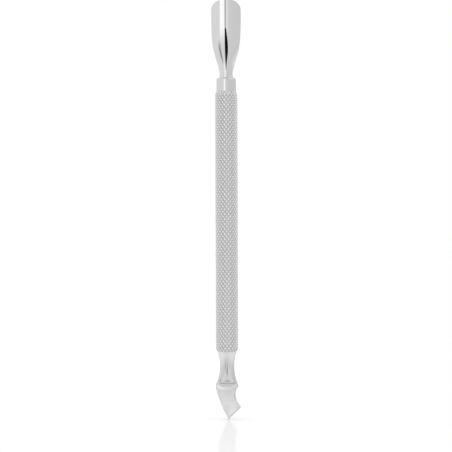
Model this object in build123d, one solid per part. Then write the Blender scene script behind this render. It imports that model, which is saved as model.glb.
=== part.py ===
from build123d import *
import os

os.makedirs("parts", exist_ok=True)

# Double-ended cuticle pusher. Millimetres, +Z along the tool towards the spoon,
# origin on the tool's axis at the middle of the knurled handle.
# The spoon's rounded back and the ground face of the blade look towards -Y.

# Handle: a knurled tube, drawn at the diameter over the crests of the knurl
HANDLE_LENGTH = 77.8
HANDLE_RADIUS = 3.375
HANDLE_BORE_RADIUS = 2.4
HANDLE_CHAMFER_LENGTH = 0.8
HANDLE_CHAMFER_DEPTH = 0.35
HANDLE_TOP = HANDLE_LENGTH / 2
HANDLE_BOTTOM = -HANDLE_LENGTH / 2

# Spigots pressed into the two ends of the tube
SPIGOT_LENGTH = 10.0
SPIGOT_CHAMFER = 0.5

# Collar: a turned bush above the handle, bored for the spoon's tang
COLLAR_LENGTH = 4.1
COLLAR_FOOT_RADIUS = 2.93
COLLAR_TOP_RADIUS = 2.85
COLLAR_EDGE_ROUND = 0.4
COLLAR_TOP = HANDLE_TOP + COLLAR_LENGTH
TANG_RADIUS = 1.6
TANG_LENGTH = 12.0
TANG_CHAMFER = 0.4

# Spoon, from the foot of its neck upwards. Each row is one cross-section:
# height above the collar, half width, ridge of the rounded back, start of the
# rim, thickness of the rim, middle of the hollow side. The depths are along Y
# from the tool's axis.
SPOON_SECTIONS = [
    (0.0, 2.12, -2.12, -0.20, 0.40, 2.12),
    (1.3, 1.86, -1.86, -0.20, 0.40, 1.86),
    (2.4, 2.06, -1.87, -0.33, 0.48, 1.76),
    (3.8, 2.46, -1.93, -0.60, 0.55, 1.42),
    (5.6, 3.02, -2.06, -0.90, 0.55, 0.82),
    (7.7, 3.64, -2.28, -1.16, 0.50, 0.02),
    (10.1, 4.12, -2.55, -1.32, 0.45, -0.78),
    (13.0, 4.34, -2.81, -1.46, 0.40, -1.42),
    (16.5, 4.44, -2.97, -1.51, 0.36, -1.80),
    (20.0, 4.45, -3.01, -1.53, 0.32, -2.02),
    (24.0, 4.43, -2.98, -1.53, 0.26, -2.42),
]
SPOON_LENGTH = 23.29
SPOON_END_FLAT = 1.0
SPOON_END_DEPTH = 3.0
SPOON_HALF_WIDTH = 4.46

# Blade neck, from its shoulder at the handle downwards: turned to a waist, then
# forged from round to flat. Each row is one cross-section: depth below the
# handle, half width, half thickness in the middle, half thickness at the side.
NECK_SECTIONS = [
    (0.0, 2.85, 2.85, 0.20),
    (0.7, 2.63, 2.63, 0.20),
    (1.4, 2.45, 2.45, 0.20),
    (2.3, 2.28, 2.28, 0.20),
    (3.4, 2.15, 2.15, 0.20),
    (4.5, 2.11, 2.02, 0.24),
    (5.8, 2.17, 1.80, 0.28),
    (7.2, 2.39, 1.50, 0.34),
    (8.6, 2.80, 1.14, 0.42),
    (9.5, 3.14, 0.62, 0.46),
    (10.4, 3.32, 0.42, 0.38),
]

# Blade plate, as (x, z) corners seen from the front, with its root inside the neck
BLADE_THICKNESS = 1.1
ROOT_LEFT = (-2.2, -47.6)
SHOULDER_LEFT = (-3.36, -48.9)
LEFT_CORNER = (-3.42, -49.7)
LEFT_EDGE_MIDDLE = (-2.38, -53.0)
TIP = (0.39, -59.3)
CUTTING_CORNER = (4.12, -55.75)
FLANK_TOP = (2.78, -53.3)
NOTCH_MIDDLE = (2.56, -51.9)
RIGHT_CORNER = (3.43, -49.35)
SHOULDER_RIGHT = (3.36, -48.9)
ROOT_RIGHT = (2.2, -47.6)

# Bevels ground on the front of the blade, as width across the face and depth
FLANK_BEVEL = (0.65, 0.45)
CUTTING_BEVEL = (0.40, 0.70)


def turned(profile):
    """A turned solid from a closed half profile drawn as (radius, z)."""
    return revolve(Plane.XZ * make_face(profile), Axis.Z)


def section(z, half_width, front, rim_start, rim, back):
    """A cross-section at height z: curved front, narrow rim, curved back, narrow rim."""
    rim_end = rim_start + rim
    front_arc = ThreePointArc((-half_width, rim_start), (0, front), (half_width, rim_start))
    back_arc = ThreePointArc((half_width, rim_end), (0, back), (-half_width, rim_end))
    right_rim = Line(front_arc @ 1, back_arc @ 0)
    left_rim = Line(back_arc @ 1, front_arc @ 0)
    return Pos(0, 0, z) * make_face([front_arc, right_rim, back_arc, left_rim])


def bevelled(plate, bevel, chosen):
    """The plate with a ground bevel along the chosen edges of its front face."""
    width, depth = bevel
    front = plate.faces().filter_by(Axis.Y).sort_by(Axis.Y)[0]
    return chamfer(front.edges().filter_by(chosen), width, depth, reference=front)


# Knurled handle tube
sleeve_end_radius = HANDLE_RADIUS - HANDLE_CHAMFER_DEPTH
handle_sleeve = turned(
    Polyline(
        (HANDLE_BORE_RADIUS, HANDLE_BOTTOM),
        (sleeve_end_radius, HANDLE_BOTTOM),
        (HANDLE_RADIUS, HANDLE_BOTTOM + HANDLE_CHAMFER_LENGTH),
        (HANDLE_RADIUS, HANDLE_TOP - HANDLE_CHAMFER_LENGTH),
        (sleeve_end_radius, HANDLE_TOP),
        (HANDLE_BORE_RADIUS, HANDLE_TOP),
        close=True,
    )
)

# Turned collar: spigot inside the tube, polished ring above it, tang hole
collar_body = turned(
    Polyline(
        (0, HANDLE_TOP - SPIGOT_LENGTH),
        (HANDLE_BORE_RADIUS - SPIGOT_CHAMFER, HANDLE_TOP - SPIGOT_LENGTH),
        (HANDLE_BORE_RADIUS, HANDLE_TOP - SPIGOT_LENGTH + SPIGOT_CHAMFER),
        (HANDLE_BORE_RADIUS, HANDLE_TOP),
        (COLLAR_FOOT_RADIUS, HANDLE_TOP),
        (COLLAR_TOP_RADIUS, COLLAR_TOP),
        (0, COLLAR_TOP),
        close=True,
    )
)
collar_body = fillet(collar_body.edges().filter_by(GeomType.CIRCLE).group_by(Axis.Z)[-1], COLLAR_EDGE_ROUND)
tang = Pos(0, 0, COLLAR_TOP) * Cylinder(
    TANG_RADIUS, TANG_LENGTH, align=(Align.CENTER, Align.CENTER, Align.MAX)
)
tang = chamfer(tang.edges().group_by(Axis.Z)[0], TANG_CHAMFER)
spoon_collar = collar_body - tang

# Spoon: trough with its round neck, trimmed to the rounded end, and its tang
trough = loft([section(COLLAR_TOP + row[0], *row[1:]) for row in SPOON_SECTIONS])
spoon_end = COLLAR_TOP + SPOON_LENGTH
round_start = spoon_end - SPOON_END_DEPTH
right_round = EllipticalCenterArc(
    (SPOON_END_FLAT, round_start), SPOON_HALF_WIDTH - SPOON_END_FLAT, SPOON_END_DEPTH, arc_size=90
)
left_round = mirror(right_round, Plane.YZ)
outline = make_face(
    [
        right_round,
        left_round,
        Line((-SPOON_END_FLAT, spoon_end), (SPOON_END_FLAT, spoon_end)),
        Polyline(
            (SPOON_HALF_WIDTH, round_start),
            (SPOON_HALF_WIDTH, COLLAR_TOP),
            (-SPOON_HALF_WIDTH, COLLAR_TOP),
            (-SPOON_HALF_WIDTH, round_start),
        ),
    ]
)
spoon_tip = (trough & extrude(Plane.XZ * outline, 5, both=True)) + tang

# Blade: spigot in the tube, neck, flat notched plate with its ground bevels
spigot = Pos(0, 0, HANDLE_BOTTOM) * Cylinder(
    HANDLE_BORE_RADIUS, SPIGOT_LENGTH, align=(Align.CENTER, Align.CENTER, Align.MIN)
)
spigot = chamfer(spigot.edges().group_by(Axis.Z)[-1], SPIGOT_CHAMFER)
neck = loft([section(HANDLE_BOTTOM - d, w, -t, -s, 2 * s, t) for d, w, t, s in NECK_SECTIONS])
plate_outline = make_face(
    [
        Polyline(RIGHT_CORNER, SHOULDER_RIGHT, ROOT_RIGHT, ROOT_LEFT, SHOULDER_LEFT, LEFT_CORNER),
        ThreePointArc(LEFT_CORNER, LEFT_EDGE_MIDDLE, TIP),
        Polyline(TIP, CUTTING_CORNER, FLANK_TOP),
        ThreePointArc(FLANK_TOP, NOTCH_MIDDLE, RIGHT_CORNER),
    ]
)
plate = extrude(Plane.XZ * plate_outline, BLADE_THICKNESS / 2, both=True)
plate = bevelled(plate, CUTTING_BEVEL, lambda edge: edge.center().X > 1 and edge.center().Z < -57)
plate = bevelled(plate, FLANK_BEVEL, lambda edge: edge.center().X > 2.4 and -56.5 < edge.center().Z < -50)
blade_tip = spigot + neck + plate

pieces = {
    "handle_sleeve": handle_sleeve,
    "spoon_collar": spoon_collar,
    "spoon_tip": spoon_tip,
    "blade_tip": blade_tip,
}
for name, solid in pieces.items():
    export_step(solid, f"parts/{name}.step")
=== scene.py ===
import math

import bmesh
import bpy
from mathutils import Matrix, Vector


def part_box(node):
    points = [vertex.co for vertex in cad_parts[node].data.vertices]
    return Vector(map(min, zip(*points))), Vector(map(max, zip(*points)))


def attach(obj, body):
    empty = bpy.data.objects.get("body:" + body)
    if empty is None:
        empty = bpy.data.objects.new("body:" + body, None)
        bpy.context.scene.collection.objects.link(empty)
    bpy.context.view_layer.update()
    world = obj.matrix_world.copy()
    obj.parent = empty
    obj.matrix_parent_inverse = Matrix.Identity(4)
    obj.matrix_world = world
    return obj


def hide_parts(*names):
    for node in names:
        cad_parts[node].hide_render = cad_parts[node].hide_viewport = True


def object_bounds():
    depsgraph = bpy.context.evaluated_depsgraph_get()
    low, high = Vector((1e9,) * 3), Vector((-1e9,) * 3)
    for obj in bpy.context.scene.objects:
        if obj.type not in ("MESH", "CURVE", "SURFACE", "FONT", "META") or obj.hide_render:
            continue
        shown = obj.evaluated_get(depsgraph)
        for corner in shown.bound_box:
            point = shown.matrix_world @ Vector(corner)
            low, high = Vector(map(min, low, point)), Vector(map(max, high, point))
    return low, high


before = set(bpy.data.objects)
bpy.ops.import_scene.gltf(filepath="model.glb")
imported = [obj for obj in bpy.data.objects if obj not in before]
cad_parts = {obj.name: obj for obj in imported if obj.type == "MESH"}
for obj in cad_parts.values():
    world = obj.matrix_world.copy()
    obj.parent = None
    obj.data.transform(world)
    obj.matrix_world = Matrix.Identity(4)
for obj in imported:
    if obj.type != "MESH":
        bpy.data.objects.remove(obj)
cad_low, cad_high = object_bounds()

MM = 0.001

# --- Camera -----------------------------------------------------------------
# Level with the middle of the tool and far enough away that the spoon and the
# blade are both seen square on. The tool leans very slightly to the left.
VIEW_DISTANCE = 0.6
VIEW_HEIGHT_OF_FRAME = 135.6 * MM
VIEW_SIDE_SHIFT = -0.2 * MM
VIEW_ABOVE_MIDDLE = -4.84 * MM
VIEW_ROLL = math.radians(0.2)
SENSOR_WIDTH = 36.0
NEAREST_SEEN = 0.01
FARTHEST_SEEN = 50.0

handle_low, handle_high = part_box("handle_sleeve")
view_height = (cad_low.z + cad_high.z) / 2 + VIEW_ABOVE_MIDDLE

camera_data = bpy.data.cameras.new("camera")
camera_data.sensor_width = SENSOR_WIDTH
camera_data.lens = SENSOR_WIDTH * VIEW_DISTANCE / VIEW_HEIGHT_OF_FRAME
camera_data.clip_start = NEAREST_SEEN
camera_data.clip_end = FARTHEST_SEEN
camera = bpy.data.objects.new("camera", camera_data)
camera.location = (VIEW_SIDE_SHIFT, -VIEW_DISTANCE, view_height)
camera.rotation_euler = (math.radians(90), VIEW_ROLL, 0)
bpy.context.scene.collection.objects.link(camera)
bpy.context.scene.camera = camera

# --- Knurled handle ---------------------------------------------------------
# A stainless steel tube with a rolled diamond knurl: two sets of V grooves that
# cross and leave small blunt pyramids. Both ends are drawn in, knurl and all.
KNURL_STARTS = 19
KNURL_PITCH = 1.487 * MM
KNURL_ROWS = 54
KNURL_DEPTH = 0.16 * MM
KNURL_FLANK = 0.28 * MM
KNURL_CROWN = 0.03 * MM
KNURL_CROWN_EDGE = 0.06 * MM
KNURL_SHARP_DEGREES = 12
HANDLE_BORE = 2.4 * MM
CHAMFER_LENGTH = 0.8 * MM
CHAMFER_DEPTH = 0.35 * MM
CHAMFER_BANDS = 3
WELD_DISTANCE = 0.0005 * MM
CUT_TOLERANCE = 0.001 * MM
# crest and groove colours: the lighter crests are wear, the darker grooves are partly painted shade in
# the recesses
KNURL_STEEL_LIGHT = (0.81, 0.81, 0.815, 1.0)
KNURL_STEEL_DARK = (0.48, 0.48, 0.485, 1.0)
GROOVE_ROUGHNESS = 0.38
CREST_ROUGHNESS = 0.32
WEAR_PATCHES = (900, 900, 500)
WEAR_LEAST = 0.85
WEAR_MOST = 1.15
STEEL_GRAIN = (9000, 9000, 9000)
STEEL_GRAIN_DEPTH = 0.004 * MM

handle_radius = handle_high.x


def set_radius(verts, radius):
    """Moves vertices in or out until they are this far from the tool's axis."""
    for vert in verts:
        vert.co.xy = vert.co.xy.normalized() * radius


def into_object(bm, name, sharp_degrees):
    """The finished mesh as an object: seams merged, normals outwards, smooth between sharp edges."""
    bmesh.ops.remove_doubles(bm, verts=bm.verts, dist=WELD_DISTANCE)
    bmesh.ops.recalc_face_normals(bm, faces=bm.faces)
    for face in bm.faces:
        face.smooth = True
    for edge in bm.edges:
        edge.smooth = edge.calc_face_angle(0.0) < math.radians(sharp_degrees)
    mesh = bpy.data.meshes.new(name)
    bm.to_mesh(mesh)
    bm.free()
    piece = bpy.data.objects.new(name, mesh)
    bpy.context.scene.collection.objects.link(piece)
    return piece


bm = bmesh.new()
groove_radius = handle_radius - KNURL_DEPTH
bmesh.ops.create_cone(
    bm,
    segments=KNURL_STARTS,
    radius1=groove_radius,
    radius2=groove_radius,
    depth=KNURL_ROWS * KNURL_PITCH,
)
upright_edges = [edge for edge in bm.edges if abs(edge.verts[0].co.z - edge.verts[1].co.z) > KNURL_PITCH]
bmesh.ops.subdivide_edges(bm, edges=upright_edges, cuts=KNURL_ROWS - 1)

# a point in the middle of every square, then the squares' own edges go: diamonds are left
square_edges = [edge for edge in bm.edges if not edge.is_boundary]
bmesh.ops.poke(bm, faces=bm.faces)
bmesh.ops.dissolve_edges(bm, edges=square_edges)
set_radius(bm.verts, groove_radius)

# each diamond rises on four flanks to a blunt, slightly crowned top
diamonds = [face for face in bm.faces if len(face.verts) == 4]
bmesh.ops.inset_individual(bm, faces=diamonds, thickness=KNURL_FLANK, use_even_offset=True)
for face in diamonds:
    set_radius(face.verts, handle_radius - KNURL_CROWN)
bmesh.ops.inset_individual(bm, faces=diamonds, thickness=KNURL_CROWN_EDGE, use_even_offset=True)
for face in diamonds:
    set_radius(face.verts, handle_radius)

# cut to length, then draw in both ends, grooves and all
handle_middle = (handle_low.z + handle_high.z) / 2
handle_half = (handle_high.z - handle_low.z) / 2
bmesh.ops.translate(bm, verts=bm.verts, vec=(0, 0, handle_middle))
for side in (1, -1):
    for step in range(CHAMFER_BANDS + 1):
        cut_height = handle_middle + side * (handle_half - step * CHAMFER_LENGTH / CHAMFER_BANDS)
        bmesh.ops.bisect_plane(
            bm,
            geom=bm.verts[:] + bm.edges[:] + bm.faces[:],
            dist=CUT_TOLERANCE,
            plane_co=(0, 0, cut_height),
            plane_no=(0, 0, side),
            clear_outer=step == 0,
        )
for vert in bm.verts:
    from_end = handle_half - abs(vert.co.z - handle_middle)
    if from_end < CHAMFER_LENGTH:
        drawn_in = CHAMFER_DEPTH * (1 - from_end / CHAMFER_LENGTH)
        set_radius([vert], vert.co.xy.length - drawn_in)

# the ring-shaped ends and the bore
rims = [edge for edge in bm.edges if edge.is_boundary]
extruded = bmesh.ops.extrude_edge_only(bm, edges=rims)["geom"]
bore_verts = [item for item in extruded if isinstance(item, bmesh.types.BMVert)]
set_radius(bore_verts, HANDLE_BORE)
bore_edges = [edge for edge in bm.edges if edge.is_boundary]
bmesh.ops.bridge_loops(bm, edges=bore_edges)
knurled_handle = into_object(bm, "knurled_handle", KNURL_SHARP_DEGREES)


def new_material(name):
    """A metal node material, its shader, and the place on the piece."""
    material = bpy.data.materials.new(name)
    material.use_nodes = True
    nodes = material.node_tree.nodes
    shader = nodes["Principled BSDF"]
    shader.inputs["Metallic"].default_value = 1.0
    place = nodes.new("ShaderNodeTexCoord").outputs["Object"]
    return material, shader, place


def noise(material, place, stretch, detail):
    """Soft noise from 0 to 1, with so many grains to the metre along each axis."""
    nodes = material.node_tree.nodes
    links = material.node_tree.links
    mapping = nodes.new("ShaderNodeMapping")
    mapping.inputs["Scale"].default_value = stretch
    texture = nodes.new("ShaderNodeTexNoise")
    texture.inputs["Scale"].default_value = 1.0
    texture.inputs["Detail"].default_value = detail
    links.new(place, mapping.inputs["Vector"])
    links.new(mapping.outputs["Vector"], texture.inputs["Vector"])
    return texture.outputs["Fac"]


def spread(material, value, from_low, from_high, to_low, to_high):
    """A value stretched from one range to another and kept inside it."""
    nodes = material.node_tree.nodes
    node = nodes.new("ShaderNodeMapRange")
    node.inputs["From Min"].default_value = from_low
    node.inputs["From Max"].default_value = from_high
    node.inputs["To Min"].default_value = to_low
    node.inputs["To Max"].default_value = to_high
    material.node_tree.links.new(value, node.inputs["Value"])
    return node.outputs["Result"]


def arithmetic(material, operation, first, second):
    """Two values combined; either may be a plain number."""
    node = material.node_tree.nodes.new("ShaderNodeMath")
    node.operation = operation
    for socket, value in zip(node.inputs, (first, second)):
        if isinstance(value, (int, float)):
            socket.default_value = value
        else:
            material.node_tree.links.new(value, socket)
    return node.outputs["Value"]


def blended(material, amount, first, second):
    """A colour between two colours."""
    node = material.node_tree.nodes.new("ShaderNodeMix")
    node.data_type = "RGBA"
    node.inputs[6].default_value = first
    node.inputs[7].default_value = second
    material.node_tree.links.new(amount, node.inputs["Factor"])
    return node.outputs[2]


def bump(material, height, depth, under=None):
    """A surface normal with this relief on it, its full depth in metres."""
    node = material.node_tree.nodes.new("ShaderNodeBump")
    node.inputs["Distance"].default_value = depth
    material.node_tree.links.new(height, node.inputs["Height"])
    if under is not None:
        material.node_tree.links.new(under, node.inputs["Normal"])
    return node.outputs["Normal"]


knurl_steel, shader, place = new_material("knurled_steel")
links = knurl_steel.node_tree.links
axes = knurl_steel.node_tree.nodes.new("ShaderNodeSeparateXYZ")
links.new(place, axes.inputs["Vector"])
across = arithmetic(knurl_steel, "MULTIPLY", axes.outputs["X"], axes.outputs["X"])
deep = arithmetic(knurl_steel, "MULTIPLY", axes.outputs["Y"], axes.outputs["Y"])
from_axis = arithmetic(knurl_steel, "SQRT", arithmetic(knurl_steel, "ADD", across, deep), 0.0)
along = arithmetic(knurl_steel, "SUBTRACT", axes.outputs["Z"], handle_middle)
from_middle = arithmetic(knurl_steel, "ABSOLUTE", along, 0.0)
chamfer_start = handle_half - CHAMFER_LENGTH
drawn_in = spread(knurl_steel, from_middle, chamfer_start, handle_half, 0.0, CHAMFER_DEPTH)
from_axis = arithmetic(knurl_steel, "ADD", from_axis, drawn_in)
# crests lighter with wear and grooves darker with painted shade in the recesses; the same mask makes the
# grooves rougher
worn_crests_shaded_grooves = spread(knurl_steel, from_axis, groove_radius, handle_radius, 0.0, 1.0)
patchy = noise(knurl_steel, place, WEAR_PATCHES, 3.0)
grain = noise(knurl_steel, place, STEEL_GRAIN, 2.0)
wear = spread(knurl_steel, patchy, 0.3, 0.7, WEAR_LEAST, WEAR_MOST)
patchy_worn_crests_shaded_grooves = arithmetic(knurl_steel, "MULTIPLY", worn_crests_shaded_grooves, wear)
knurl_colour = blended(knurl_steel, patchy_worn_crests_shaded_grooves, KNURL_STEEL_DARK, KNURL_STEEL_LIGHT)
knurl_roughness = spread(knurl_steel, patchy_worn_crests_shaded_grooves, 0.0, 1.0, GROOVE_ROUGHNESS, CREST_ROUGHNESS)
links.new(knurl_colour, shader.inputs["Base Color"])
links.new(knurl_roughness, shader.inputs["Roughness"])
links.new(bump(knurl_steel, grain, STEEL_GRAIN_DEPTH), shader.inputs["Normal"])

knurled_handle.data.materials.append(knurl_steel)
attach(knurled_handle, "root")
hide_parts("handle_sleeve")

# --- Collar -----------------------------------------------------------------
# A turned and polished stainless steel bush. Its spigot is pressed into the
# tube, its ring stands above the knurl, and the spoon's tang goes down its hole.
COLLAR_SPIGOT_RADIUS = 2.4 * MM
COLLAR_SPIGOT_CHAMFER = 0.5 * MM
COLLAR_FOOT_RADIUS = 2.93 * MM
COLLAR_TOP_RADIUS = 2.85 * MM
COLLAR_TOP_ROUND = 0.4 * MM
COLLAR_FOOT_ROUND = 0.08 * MM
COLLAR_FOOT_BAND = 0.15 * MM
COLLAR_TOP_BAND = 0.1 * MM
COLLAR_SHARP_DEGREES = 30
RIM_TOLERANCE = 0.01 * MM
TANG_RADIUS = 1.6 * MM
TANG_LENGTH = 12.0 * MM
TURNED_STEPS = 96
COLLAR_STEEL_LIGHT = (0.63, 0.63, 0.635, 1.0)
COLLAR_STEEL_DARK = (0.58, 0.58, 0.59, 1.0)
COLLAR_POLISH_LINES = (300, 300, 9000)
COLLAR_ROUGHNESS = (0.05, 0.10)

collar_low, collar_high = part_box("spoon_collar")
collar_foot = handle_high.z
collar_top = collar_high.z


def turned(profile):
    """A turned solid from a chain of (radius, height) points that starts and ends on the axis."""
    bm = bmesh.new()
    verts = [bm.verts.new((radius, 0, height)) for radius, height in profile]
    edges = [bm.edges.new(pair) for pair in zip(verts, verts[1:])]
    bmesh.ops.spin(
        bm,
        geom=verts + edges,
        cent=(0, 0, 0),
        axis=(0, 0, 1),
        dvec=(0, 0, 0),
        angle=2 * math.pi,
        steps=TURNED_STEPS,
        use_merge=True,
        use_duplicate=False,
    )
    bmesh.ops.remove_doubles(bm, verts=bm.verts, dist=WELD_DISTANCE)
    return bm


def round_rim(bm, radius, height, size, segments):
    """Rounds off the circular edge at this radius and height."""
    on_rim = set()
    for vert in bm.verts:
        off_height = abs(vert.co.z - height)
        off_radius = abs(vert.co.xy.length - radius)
        if off_height < RIM_TOLERANCE and off_radius < RIM_TOLERANCE:
            on_rim.add(vert)
    rim = [edge for edge in bm.edges if on_rim.issuperset(edge.verts)]
    bmesh.ops.bevel(
        bm,
        geom=rim,
        offset=size,
        offset_type="OFFSET",
        affect="EDGES",
        segments=segments,
        profile=0.5,
        material=-1,
    )


bm = turned(
    [
        (0, collar_low.z),
        (COLLAR_SPIGOT_RADIUS - COLLAR_SPIGOT_CHAMFER, collar_low.z),
        (COLLAR_SPIGOT_RADIUS, collar_low.z + COLLAR_SPIGOT_CHAMFER),
        (COLLAR_SPIGOT_RADIUS, collar_foot),
        (COLLAR_FOOT_RADIUS, collar_foot),
        (COLLAR_TOP_RADIUS, collar_top),
        (TANG_RADIUS, collar_top),
        (TANG_RADIUS, collar_top - TANG_LENGTH),
        (0, collar_top - TANG_LENGTH),
    ]
)
round_rim(bm, COLLAR_TOP_RADIUS, collar_top, COLLAR_TOP_ROUND, 6)
round_rim(bm, COLLAR_FOOT_RADIUS, collar_foot, COLLAR_FOOT_ROUND, 3)
for height in (collar_foot + COLLAR_FOOT_BAND, collar_top - COLLAR_TOP_ROUND - COLLAR_TOP_BAND):
    bmesh.ops.bisect_plane(
        bm,
        geom=bm.verts[:] + bm.edges[:] + bm.faces[:],
        dist=CUT_TOLERANCE,
        plane_co=(0, 0, height),
        plane_no=(0, 0, 1),
    )
collar_ring = into_object(bm, "collar_ring", COLLAR_SHARP_DEGREES)


WIPING_MARKS = (220, 220, 140)
POLISH_LINE_DEPTH = 0.0004 * MM
SCRATCH_DEPTH = 0.0003 * MM
SCRATCH_ROUGHNESS = 0.05


def polished_steel(name, light, dark, lines, roughness):
    """Polished steel: faint polishing lines, cloudy wiping marks and a few hair scratches."""
    material, shader, place = new_material(name)
    links = material.node_tree.links
    cloudy = noise(material, place, WIPING_MARKS, 3.0)
    polish_lines = noise(material, place, lines, 2.0)
    hairs = noise(material, place, (lines[2] * 0.6, lines[1] * 1.5, lines[0] * 0.8), 1.0)
    scratches = spread(material, hairs, 0.64, 0.70, 0.0, 1.0)
    low, high = roughness
    matt = spread(material, cloudy, 0.35, 0.70, low, high)
    links.new(blended(material, cloudy, light, dark), shader.inputs["Base Color"])
    scratched = arithmetic(material, "MULTIPLY", scratches, SCRATCH_ROUGHNESS)
    links.new(arithmetic(material, "ADD", matt, scratched), shader.inputs["Roughness"])
    relief = bump(material, polish_lines, POLISH_LINE_DEPTH)
    links.new(bump(material, scratches, SCRATCH_DEPTH, relief), shader.inputs["Normal"])
    return material


collar_steel = polished_steel(
    "collar_steel", COLLAR_STEEL_LIGHT, COLLAR_STEEL_DARK, COLLAR_POLISH_LINES, COLLAR_ROUGHNESS
)
collar_ring.data.materials.append(collar_steel)
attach(collar_ring, "root")
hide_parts("spoon_collar")

# --- Spoon ------------------------------------------------------------------
# The scoop-shaped pusher: stainless bar forged from a round neck into a trough
# with a rounded end, then polished all over. Its tang is pressed into the collar.

# each row: height above the collar, half width, ridge of the rounded back, start
# of the rim, thickness of the rim, middle of the hollow side
SPOON_SECTIONS = [
    (0.0, 2.12, -1.93, -0.20, 0.40, 2.12),
    (1.3, 1.86, -1.86, -0.20, 0.40, 1.86),
    (2.4, 2.06, -1.87, -0.33, 0.48, 1.76),
    (3.8, 2.46, -1.93, -0.60, 0.55, 1.42),
    (5.6, 3.02, -2.06, -0.90, 0.55, 0.82),
    (7.7, 3.64, -2.28, -1.16, 0.50, 0.02),
    (10.1, 4.12, -2.55, -1.32, 0.45, -0.78),
    (13.0, 4.34, -2.81, -1.46, 0.40, -1.42),
    (16.5, 4.44, -2.97, -1.51, 0.36, -1.80),
]
SPOON_END_SECTION = (4.45, -3.01, -1.53, 0.32, -2.02)
SPOON_END_DEPTH = 3.0
SPOON_END_FLAT = 1.0
SPOON_END_ROWS = 8
SPOON_ARC_STEPS = (-1, -0.96, -0.84, -0.66, -0.44, -0.22, 0, 0.22, 0.44, 0.66, 0.84, 0.96, 1)
SPOON_STEEL_LIGHT = (0.64, 0.64, 0.645, 1.0)
SPOON_STEEL_DARK = (0.60, 0.60, 0.61, 1.0)
SPOON_POLISH_LINES = (5000, 5000, 160)
SPOON_ROUGHNESS = (0.035, 0.08)
TANG_CHAMFER = 0.4 * MM
TANG_HOLD = 0.2 * MM
FOOT_HOLD = (0.15, 0.02)
ALL_SMOOTH_DEGREES = 180
SMOOTHING_LEVELS = 3

_, spoon_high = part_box("spoon_tip")
spoon_round_start = (spoon_high.z - collar_top) / MM - SPOON_END_DEPTH


def arc(half_width, edge, middle, reach, steps):
    """Points (x, y) on the arc from (-half_width, edge) over (0, middle), as wide as reach."""
    rise = middle - edge
    radius = (half_width**2 + rise**2) / (2 * rise)
    sweep = math.asin(reach / abs(radius))
    points = []
    for step in steps:
        x = abs(radius) * math.sin(sweep * step)
        y = middle - radius + radius * math.cos(sweep * step)
        points.append((x, y))
    return points


def trough_ring(height, half_width, ridge, rim_start, rim, hollow, reach):
    """One closed ring of the spoon: its rounded back from the left, then its hollow side back."""
    back = arc(half_width, rim_start, ridge, reach, SPOON_ARC_STEPS)
    inside = arc(half_width, rim_start + rim, hollow, reach, SPOON_ARC_STEPS)
    z = collar_top + height * MM
    return [Vector((x * MM, y * MM, z)) for x, y in back + inside[::-1]]


def grow_ring(bm, ring, points):
    """Extrudes a closed ring of vertices and moves the new ring onto the given points."""
    edges = [bm.edges.get(pair) for pair in zip(ring, ring[1:] + ring[:1])]
    geometry = bmesh.ops.extrude_edge_only(bm, edges=edges)["geom"]
    made = {item for item in geometry if isinstance(item, bmesh.types.BMVert)}
    new_ring = []
    for vert in ring:
        neighbours = [edge.other_vert(vert) for edge in vert.link_edges]
        new_ring.append(next(neighbour for neighbour in neighbours if neighbour in made))
    for vert, point in zip(new_ring, points):
        vert.co = point
    return new_ring


def close_flat(bm, ring):
    """Closes a flat ring by joining its front half to its back half."""
    half = len(ring) // 2
    front_edges = [bm.edges.get(pair) for pair in zip(ring[:half], ring[1:half])]
    back_edges = [bm.edges.get(pair) for pair in zip(ring[half:], ring[half + 1 :])]
    bmesh.ops.bridge_loops(bm, edges=front_edges + back_edges)


def round_ring(radius, z, count):
    """A ring of the tang, with its points in the same order as a ring of the spoon."""
    points = []
    for index in range(count):
        angle = math.pi + math.pi * (index + 0.5) / (count / 2)
        points.append(Vector((radius * math.cos(angle), radius * math.sin(angle), z)))
    return points


bm = bmesh.new()
ring_count = 2 * len(SPOON_ARC_STEPS)
tang_end = collar_top - TANG_LENGTH
ring = bmesh.ops.create_circle(bm, segments=ring_count, radius=TANG_RADIUS)["verts"]
for vert, point in zip(ring, round_ring(TANG_RADIUS - TANG_CHAMFER, tang_end, ring_count)):
    vert.co = point
close_flat(bm, ring)
ring = grow_ring(bm, ring, round_ring(TANG_RADIUS, tang_end + TANG_CHAMFER, ring_count))
ring = grow_ring(bm, ring, round_ring(TANG_RADIUS, collar_top - TANG_HOLD, ring_count))
ring = grow_ring(bm, ring, round_ring(TANG_RADIUS, collar_top, ring_count))
for height, half_width, *depths in SPOON_SECTIONS:
    ring = grow_ring(bm, ring, trough_ring(height, half_width, *depths, half_width))
    if height == 0.0:
        # an extra ring close above the foot keeps its edge crisp when it is smoothed
        hold_height, narrower = FOOT_HOLD
        held_width = half_width - narrower
        ring = grow_ring(bm, ring, trough_ring(hold_height, held_width, *depths, held_width))
for row in range(SPOON_END_ROWS + 1):
    angle = math.pi / 2 * row / SPOON_END_ROWS
    height = spoon_round_start + SPOON_END_DEPTH * math.sin(angle)
    reach = SPOON_END_FLAT + (SPOON_END_SECTION[0] - SPOON_END_FLAT) * math.cos(angle)
    ring = grow_ring(bm, ring, trough_ring(height, *SPOON_END_SECTION, reach))
close_flat(bm, ring)
spoon = into_object(bm, "spoon", ALL_SMOOTH_DEGREES)
spoon_smoothing = spoon.modifiers.new("smoothing", "SUBSURF")
spoon_smoothing.levels = SMOOTHING_LEVELS
spoon_smoothing.render_levels = SMOOTHING_LEVELS

spoon_steel = polished_steel(
    "spoon_steel", SPOON_STEEL_LIGHT, SPOON_STEEL_DARK, SPOON_POLISH_LINES, SPOON_ROUGHNESS
)
spoon.data.materials.append(spoon_steel)
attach(spoon, "root")
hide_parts("spoon_tip")

# --- Blade ------------------------------------------------------------------
# The other end: a turned shoulder and waist, forged flat below into a notched
# scraper blade. Its right flank and its slanted cutting edge are ground to a
# bevel from the front. A spigot is pressed into the tube.

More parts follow.
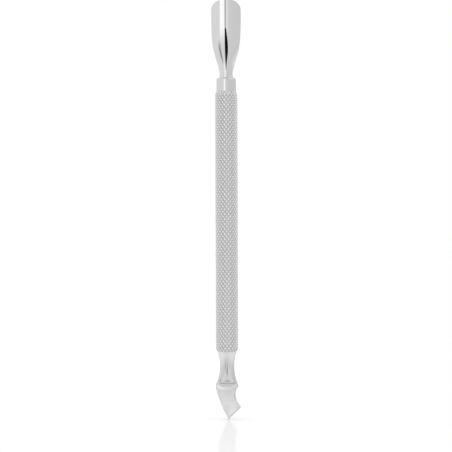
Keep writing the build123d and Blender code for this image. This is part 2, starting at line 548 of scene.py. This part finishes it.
# each row: depth below the handle, half width, half thickness in the middle,
# half thickness at the side
NECK_SECTIONS = [
    (0.0, 2.85, 2.85, 0.20),
    (0.7, 2.63, 2.63, 0.20),
    (1.4, 2.45, 2.45, 0.20),
    (2.3, 2.28, 2.28, 0.20),
    (3.4, 2.15, 2.15, 0.20),
    (4.5, 2.11, 2.02, 0.24),
    (5.8, 2.17, 1.80, 0.28),
    (7.2, 2.39, 1.50, 0.34),
    (8.6, 2.80, 1.10, 0.42),
]
PLATE_HALF_THICKNESS = 0.55
PLATE_ROWS = (-48.3, -48.9, -49.35, -49.7, -50.3, -51.0, -51.9, -52.6, -53.3, -54.1, -54.9, -55.5, -55.75)
CUTTING_ROWS = (-56.0, -56.5, -57.2, -57.9, -58.5, -59.0, -59.3)
LEFT_SHOULDER = (-3.25, -48.3)
LEFT_CORNER = (-3.42, -49.7)
LEFT_EDGE_MIDDLE = (-2.47, -53.0)
TIP = (0.39, -59.3)
RIGHT_SHOULDER = (3.05, -48.3)
RIGHT_CORNER = (3.43, -49.35)
NOTCH_MIDDLE = (2.43, -51.9)
FLANK_TOP = (2.78, -53.3)
CUTTING_CORNER = (4.12, -55.75)
BLADE_COLUMNS = 11
BLEND_FOOT = -50.3
BLEND_SWELL = 0.05
BLADE_STEEL_LIGHT = (0.59, 0.59, 0.595, 1.0)
BLADE_STEEL_DARK = (0.55, 0.55, 0.56, 1.0)
BLADE_POLISH_LINES = (4000, 4000, 300)
BLADE_ROUGHNESS = (0.06, 0.12)
SATIN_ROUGHNESS = 0.34
SATIN_START = 4.8 * MM
SATIN_FULL = 1.2 * MM
# the satin shoulder's paler colour: a painted sheen, not the steel's own tone
SATIN_SHEEN_PAINTED = (0.76, 0.76, 0.765, 1.0)
CUTTING_BEVEL = (0.58, 0.70)
FLANK_BEVEL_START = (0.12, 0.15)
FLANK_BEVEL_GROWTH = (0.62, 0.35)
SHOULDER_BEVEL = (0.12, 0.05)
LEAST_PLATE_WIDTH = 0.14
LEAST_FLAT_SHARE = 0.55
SPIGOT_CHAMFER = 0.5 * MM
SPIGOT_HOLD = 0.2 * MM
SHOULDER_HOLD = (0.1, 2.82, 2.82, 0.20)
NECK_MARK = 0.0
BEVEL_CREASE_TOP = -50
EDGE_CREASE = 0.85
CORNER_CREASE = 1.0

bm = bmesh.new()
_, blade_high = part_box("blade_tip")
handle_foot = handle_low.z / MM


def line(z, start, end):
    """The x at this height on the straight line between two (x, z) points."""
    return start[0] + (end[0] - start[0]) * (z - start[1]) / (end[1] - start[1])


def bow(z, start, middle, end):
    """The x at this height on the smooth curve through three (x, z) points."""
    (xa, za), (xb, zb), (xc, zc) = start, middle, end
    near_start = (z - zb) * (z - zc) / ((za - zb) * (za - zc))
    near_middle = (z - za) * (z - zc) / ((zb - za) * (zb - zc))
    near_end = (z - za) * (z - zb) / ((zc - za) * (zc - zb))
    return xa * near_start + xb * near_middle + xc * near_end


def left_edge(z):
    """The x of the plate's left edge at this height."""
    if z > LEFT_CORNER[1]:
        return line(z, LEFT_SHOULDER, LEFT_CORNER)
    return bow(z, LEFT_CORNER, LEFT_EDGE_MIDDLE, TIP)


def right_edge(z):
    """The x of the plate's right edge at this height: shoulder, notch, flank, cutting edge."""
    if z > RIGHT_CORNER[1]:
        return line(z, RIGHT_SHOULDER, RIGHT_CORNER)
    if z > FLANK_TOP[1]:
        return bow(z, RIGHT_CORNER, NOTCH_MIDDLE, FLANK_TOP)
    if z > CUTTING_CORNER[1]:
        return line(z, FLANK_TOP, CUTTING_CORNER)
    return line(z, CUTTING_CORNER, TIP)


def bevel_at(z):
    """Width of the ground bevel, measured level across the face, and how far it goes back."""
    if z < CUTTING_CORNER[1]:
        return CUTTING_BEVEL
    if z < RIGHT_CORNER[1]:
        ground = (RIGHT_CORNER[1] - z) / (RIGHT_CORNER[1] - CUTTING_CORNER[1])
        width = FLANK_BEVEL_START[0] + FLANK_BEVEL_GROWTH[0] * ground
        depth = FLANK_BEVEL_START[1] + FLANK_BEVEL_GROWTH[1] * ground
        return width, depth
    return SHOULDER_BEVEL


arc_steps = [2 * index / (BLADE_COLUMNS - 1) - 1 for index in range(BLADE_COLUMNS)]


def neck_ring(depth, half_width, middle, side):
    """One closed ring of the neck, the same in front and behind."""
    front = arc(half_width, -side, -middle, half_width, arc_steps)
    back = [(x, -y) for x, y in front[::-1]]
    z = handle_foot - depth
    return [Vector((x, y, z)) * MM for x, y in front + back]


def plate_ring(z):
    """One closed ring of the plate: front with its bevel from the left, then the flat back."""
    left, right = left_edge(z), right_edge(z)
    right = max(right, left + LEAST_PLATE_WIDTH)
    width, depth = bevel_at(z)
    bevel_line = max(right - width, left + (right - left) * LEAST_FLAT_SHARE)
    swell = BLEND_SWELL * (max(z - BLEND_FOOT, 0) / (PLATE_ROWS[0] - BLEND_FOOT)) ** 2
    front = []
    for index in range(BLADE_COLUMNS - 1):
        across = index / (BLADE_COLUMNS - 2)
        thickness = PLATE_HALF_THICKNESS + swell * 4 * across * (1 - across)
        front.append((left + (bevel_line - left) * across, -thickness))
    front.append((right, -PLATE_HALF_THICKNESS + depth))
    back = [(x, PLATE_HALF_THICKNESS) for x, y in front[::-1]]
    return [Vector((x, y, z)) * MM for x, y in front + back]


ring_count = 2 * BLADE_COLUMNS
spigot_radius = HANDLE_BORE
ring = bmesh.ops.create_circle(bm, segments=ring_count, radius=spigot_radius)["verts"]
for vert, point in zip(ring, round_ring(spigot_radius - SPIGOT_CHAMFER, blade_high.z, ring_count)):
    vert.co = point
close_flat(bm, ring)
ring = grow_ring(bm, ring, round_ring(spigot_radius, blade_high.z - SPIGOT_CHAMFER, ring_count))
ring = grow_ring(bm, ring, round_ring(spigot_radius, handle_low.z + SPIGOT_HOLD, ring_count))
ring = grow_ring(bm, ring, round_ring(spigot_radius, handle_low.z, ring_count))
rings = []
for row in NECK_SECTIONS:
    ring = grow_ring(bm, ring, neck_ring(*row))
    rings.append((NECK_MARK, ring))
    if row[0] == 0.0:
        # an extra ring close below the shoulder keeps its edge crisp when it is smoothed
        ring = grow_ring(bm, ring, neck_ring(*SHOULDER_HOLD))
        rings.append((NECK_MARK, ring))
for z in PLATE_ROWS + CUTTING_ROWS:
    ring = grow_ring(bm, ring, plate_ring(z))
    rings.append((z, ring))
close_flat(bm, ring)

# creases keep the plate's corners, its bevels and its cutting edge when it is smoothed
crease = bm.edges.layers.float.new("crease_edge")
for (upper_z, upper), (_, lower) in zip(rings, rings[1:]):
    if upper_z == NECK_MARK:
        continue
    for column in (0, BLADE_COLUMNS - 1, BLADE_COLUMNS, 2 * BLADE_COLUMNS - 1):
        bm.edges.get((upper[column], lower[column]))[crease] = EDGE_CREASE
    if upper_z < BEVEL_CREASE_TOP:
        bm.edges.get((upper[BLADE_COLUMNS - 2], lower[BLADE_COLUMNS - 2]))[crease] = EDGE_CREASE
for z, ring in rings:
    if z == CUTTING_CORNER[1]:
        bm.edges.get((ring[BLADE_COLUMNS - 1], ring[BLADE_COLUMNS]))[crease] = CORNER_CREASE
        bm.edges.get((ring[BLADE_COLUMNS - 2], ring[BLADE_COLUMNS - 1]))[crease] = EDGE_CREASE
last_ring = rings[-1][1]
for pair in zip(last_ring, last_ring[1:] + last_ring[:1]):
    bm.edges.get(pair)[crease] = EDGE_CREASE

blade = into_object(bm, "blade", ALL_SMOOTH_DEGREES)
blade_smoothing = blade.modifiers.new("smoothing", "SUBSURF")
blade_smoothing.levels = SMOOTHING_LEVELS
blade_smoothing.render_levels = SMOOTHING_LEVELS

# satin on the shoulder next to the handle, fading into polish down the neck, with a paler colour there
# that is a painted sheen
blade_steel = polished_steel(
    "blade_steel", BLADE_STEEL_LIGHT, BLADE_STEEL_DARK, BLADE_POLISH_LINES, BLADE_ROUGHNESS
)
links = blade_steel.node_tree.links
shader = blade_steel.node_tree.nodes["Principled BSDF"]
place = blade_steel.node_tree.nodes["Texture Coordinate"].outputs["Object"]
axes = blade_steel.node_tree.nodes.new("ShaderNodeSeparateXYZ")
links.new(place, axes.inputs["Vector"])
satin_start = handle_low.z - SATIN_START
satin_full = handle_low.z - SATIN_FULL
satin = spread(blade_steel, axes.outputs["Z"], satin_start, satin_full, 0.0, 1.0)
buffed = shader.inputs["Roughness"].links[0].from_socket
roughened = arithmetic(blade_steel, "MULTIPLY", satin, SATIN_ROUGHNESS)
frosted = arithmetic(blade_steel, "ADD", buffed, roughened)
links.new(frosted, shader.inputs["Roughness"])
polished_colour = shader.inputs["Base Color"].links[0].from_socket
sheen_painted_colour = blended(blade_steel, satin, BLADE_STEEL_LIGHT, SATIN_SHEEN_PAINTED)
links.new(polished_colour, sheen_painted_colour.node.inputs[6])
links.new(sheen_painted_colour, shader.inputs["Base Color"])
blade.data.materials.append(blade_steel)
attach(blade, "root")
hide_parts("blade_tip")

# --- Floor ------------------------------------------------------------------
# A plain white acrylic sheet that the blade's tip stands on. It is slightly
# glossy, so it shows a faint reflection of the tool.
FLOOR_HALF_SIZE = 20.0
FLOOR_WHITE = (0.98, 0.98, 0.98, 1.0)
PURE_WHITE = (1.0, 1.0, 1.0, 1.0)
FLOOR_ROUGHNESS = 0.13
FLOOR_GLOSS_SHARE = 0.15

bm = bmesh.new()
bmesh.ops.create_grid(bm, x_segments=1, y_segments=1, size=FLOOR_HALF_SIZE)
bmesh.ops.translate(bm, verts=bm.verts, vec=(0, 0, cad_low.z))
floor_mesh = bpy.data.meshes.new("floor")
bm.to_mesh(floor_mesh)
bm.free()
floor = bpy.data.objects.new("floor", floor_mesh)
bpy.context.scene.collection.objects.link(floor)
floor.visible_glossy = False

floor_paint = bpy.data.materials.new("white_acrylic")
floor_paint.use_nodes = True
nodes = floor_paint.node_tree.nodes
links = floor_paint.node_tree.links
nodes.remove(nodes["Principled BSDF"])
white = nodes.new("ShaderNodeBsdfDiffuse")
white.inputs["Color"].default_value = FLOOR_WHITE
gloss = nodes.new("ShaderNodeBsdfGlossy")
gloss.inputs["Color"].default_value = PURE_WHITE
gloss.inputs["Roughness"].default_value = FLOOR_ROUGHNESS
sheet = nodes.new("ShaderNodeMixShader")
sheet.inputs["Fac"].default_value = FLOOR_GLOSS_SHARE
links.new(white.outputs["BSDF"], sheet.inputs[1])
links.new(gloss.outputs["BSDF"], sheet.inputs[2])
links.new(sheet.outputs["Shader"], nodes["Material Output"].inputs["Surface"])
floor_mesh.materials.append(floor_paint)

# --- Light ------------------------------------------------------------------
# A white tent all round the tool, a little darker on its right, with two bright
# panels either side of the opening that the camera looks through.

# ranges of bearing, in degrees from the camera's side round to the right
LEFT_PANEL = (-28.5, -7.5)
RIGHT_PANEL = (2.0, 6.5)
GAP = (-6.5, 1.0)
FRONT = (-45.0, 28.0)
RIGHT_SIDE = (60.0, 120.0)
SLANT = (-36.0, -27.0)
DARK_MIDDLE = (-9.0, 10.0)
LOW_LIGHT = (-40.0, 45.0)
LIP_WIDTH = (-4.0, 4.0)

# a range of bearing that counts on both sides
REAR_CORNERS = (142.0, 172.0)

# ranges of height, in degrees above level
PANEL_FOOT = (-6.5, 1.0)
PANEL_HEAD = (15.0, 28.0)
GAP_HEIGHTS = (-1.0, 8.0)
FRONT_HIGH = (10.0, 50.0)
OFF_LEVEL = (10.0, 16.0)
RIGHT_LOW = (-16.0, -10.0)
SLANT_HEIGHTS = (-23.0, -6.5)
LOW_FRONT = (-30.0, -18.0)
LOW_LIGHT_HEIGHTS = (-50.0, -17.0)
BELOW = (-72.0, -52.0)
OVERHEAD = (50.0, 64.0)
LIP = (-4.7, -5.9)
LIP_CUT = (-6.1, -5.6)

# how far their edges fade either way, in degrees
PANEL_EDGE = 1.0
GAP_HEIGHT_EDGE = 1.5
REAR_EDGE = 6.0
FRONT_EDGE = 25.0
FRONT_HIGH_EDGE = 4.0
RIGHT_SIDE_EDGE = 20.0
SLANT_EDGE = 3.0
SLANT_HEIGHT_EDGE = 2.0
DARK_EDGE = 4.0
LOW_FRONT_EDGE = 3.0
LOW_LIGHT_EDGE = 10.0
LOW_LIGHT_HEIGHT_EDGE = 3.0
LIP_EDGE = 1.0

# strengths: walls as they are, glows added to them and shades taken off
LEFT_WALL = 1.08
RIGHT_WALL = 0.92
WALL_REACH = 0.6
PANEL_GLOW = 0.5
RIGHT_PANEL_SHARE = 0.7
GAP_SHADE = 0.3
REAR_SHADE = 0.3
FRONT_SHADE = 0.22
FRONT_HIGH_SHADE = 0.14
RIGHT_GLOW = 0.36
RIGHT_LOW_GLOW = 0.2
SLANT_SHADE = 0.75
DARK_SHADE = 0.55
LOW_GLOW = 0.3
BELOW_SHADE = 0.1
OVERHEAD_GLOW = 0.4
LIP_GLOW = 1.0

world = bpy.data.worlds.new("studio")
bpy.context.scene.world = world
world.use_nodes = True
background = world.node_tree.nodes["Background"]
direction = world.node_tree.nodes.new("ShaderNodeTexCoord").outputs["Generated"]
parts = world.node_tree.nodes.new("ShaderNodeSeparateXYZ")
world.node_tree.links.new(direction, parts.inputs["Vector"])
towards_camera = arithmetic(world, "MULTIPLY", parts.outputs["Y"], -1.0)
bearing = arithmetic(world, "ARCTAN2", parts.outputs["X"], towards_camera)
height_angle = arithmetic(world, "ARCSINE", parts.outputs["Z"], 0.0)


def soft_band(value, low, high, edge):
    """1 between two angles in degrees, falling softly to 0 outside them."""
    rising = spread(world, value, math.radians(low - edge), math.radians(low + edge), 0.0, 1.0)
    falling = spread(world, value, math.radians(high - edge), math.radians(high + edge), 1.0, 0.0)
    return arithmetic(world, "MULTIPLY", rising, falling)


def lit(amount, *masks):
    """A light of this strength where all the masks are 1; a shade where it is negative."""
    light = arithmetic(world, "MULTIPLY", masks[0], amount)
    for mask in masks[1:]:
        light = arithmetic(world, "MULTIPLY", light, mask)
    return light


def ramp(value, low, high, at_low, at_high):
    """A value that changes evenly between two angles in degrees."""
    return spread(world, value, math.radians(low), math.radians(high), at_low, at_high)


walls = spread(world, parts.outputs["X"], -WALL_REACH, WALL_REACH, LEFT_WALL, RIGHT_WALL)
from_level = arithmetic(world, "ABSOLUTE", height_angle, 0.0)
from_front = arithmetic(world, "ABSOLUTE", bearing, 0.0)
off_level = ramp(from_level, *OFF_LEVEL, 0.0, 1.0)
panel_rise = ramp(height_angle, *PANEL_FOOT, 0.0, 1.0)
panel_fall = ramp(height_angle, *PANEL_HEAD, 1.0, 0.0)
left_panel = soft_band(bearing, *LEFT_PANEL, PANEL_EDGE)
right_panel = soft_band(bearing, *RIGHT_PANEL, PANEL_EDGE)
gap = soft_band(bearing, *GAP, PANEL_EDGE)
gap_heights = soft_band(height_angle, *GAP_HEIGHTS, GAP_HEIGHT_EDGE)
rear_corners = soft_band(from_front, *REAR_CORNERS, REAR_EDGE)
front = soft_band(bearing, *FRONT, FRONT_EDGE)
front_high = soft_band(height_angle, *FRONT_HIGH, FRONT_HIGH_EDGE)
right_side = soft_band(bearing, *RIGHT_SIDE, RIGHT_SIDE_EDGE)
right_high = ramp(height_angle, *OFF_LEVEL, 0.0, 1.0)
right_low = ramp(height_angle, *RIGHT_LOW, 1.0, 0.0)
slant = soft_band(bearing, *SLANT, SLANT_EDGE)
slant_heights = soft_band(height_angle, *SLANT_HEIGHTS, SLANT_HEIGHT_EDGE)
dark_middle = soft_band(bearing, *DARK_MIDDLE, DARK_EDGE)
low_front = soft_band(height_angle, *LOW_FRONT, LOW_FRONT_EDGE)
low_light = soft_band(bearing, *LOW_LIGHT, LOW_LIGHT_EDGE)
low_light_heights = soft_band(height_angle, *LOW_LIGHT_HEIGHTS, LOW_LIGHT_HEIGHT_EDGE)
below = ramp(height_angle, *BELOW, 1.0, 0.0)
overhead = ramp(height_angle, *OVERHEAD, 0.0, 1.0)
lip_width = soft_band(bearing, *LIP_WIDTH, LIP_EDGE)
lip = ramp(height_angle, *LIP, 0.0, 1.0)
lip_cut = ramp(height_angle, *LIP_CUT, 0.0, 1.0)
lights = [
    lit(PANEL_GLOW, left_panel, panel_rise, panel_fall),
    lit(PANEL_GLOW * RIGHT_PANEL_SHARE, right_panel, panel_rise, panel_fall),
    lit(-GAP_SHADE, gap, gap_heights),
    lit(-REAR_SHADE, rear_corners),
    lit(-FRONT_SHADE, front, off_level),
    lit(-FRONT_HIGH_SHADE, front, front_high),
    lit(RIGHT_GLOW, right_side, right_high),
    lit(RIGHT_LOW_GLOW, right_side, right_low),
    lit(-SLANT_SHADE, slant, slant_heights),
    lit(-DARK_SHADE, dark_middle, low_front),
    lit(LOW_GLOW, low_light, low_light_heights),
    lit(-BELOW_SHADE, below),
    lit(OVERHEAD_GLOW, overhead),
    lit(LIP_GLOW, lip_width, lip, lip_cut),
]
tent = walls
for light in lights:
    tent = arithmetic(world, "ADD", tent, light)
seen = world.node_tree.nodes.new("ShaderNodeLightPath").outputs["Is Camera Ray"]
plain = world.node_tree.nodes.new("ShaderNodeMix")
world.node_tree.links.new(seen, plain.inputs["Factor"])
world.node_tree.links.new(tent, plain.inputs["A"])
plain.inputs["B"].default_value = 1.0
world.node_tree.links.new(plain.outputs["Result"], background.inputs["Strength"])
background.inputs["Color"].default_value = PURE_WHITE

# the dark front of the camera, seen only in reflections: in the steel, and faintly in the floor
LENS_TOP = (-24.0 * MM, 36.0 * MM, 62.0 * MM)
LENS_FOOT = (34.0 * MM, 104.0 * MM, -58.0 * MM)
LENS_BEHIND_VIEW = 0.02
LENS_BLACK = (0.01, 0.01, 0.01, 1.0)
LENS_ROUGHNESS = 0.9

bm = bmesh.new()
bmesh.ops.create_grid(bm, x_segments=1, y_segments=1, size=1.0)
for vert in bm.verts:
    middle, half_width, height = LENS_TOP if vert.co.y > 0 else LENS_FOOT
    vert.co = (middle + half_width * vert.co.x, -VIEW_DISTANCE - LENS_BEHIND_VIEW, height)
lens_mesh = bpy.data.meshes.new("camera_front")
bm.to_mesh(lens_mesh)
bm.free()
lens = bpy.data.objects.new("camera_front", lens_mesh)
bpy.context.scene.collection.objects.link(lens)
lens.visible_camera = False
lens.visible_diffuse = False
lens.visible_shadow = False
lens_paint = bpy.data.materials.new("camera_black")
lens_paint.use_nodes = True
lens_shader = lens_paint.node_tree.nodes["Principled BSDF"]
lens_shader.inputs["Base Color"].default_value = LENS_BLACK
lens_shader.inputs["Roughness"].default_value = LENS_ROUGHNESS
lens_shader.inputs["Specular IOR Level"].default_value = 0.0
lens_mesh.materials.append(lens_paint)

bpy.context.scene.view_settings.view_transform = "Standard"
bpy.context.scene.view_settings.look = "None"
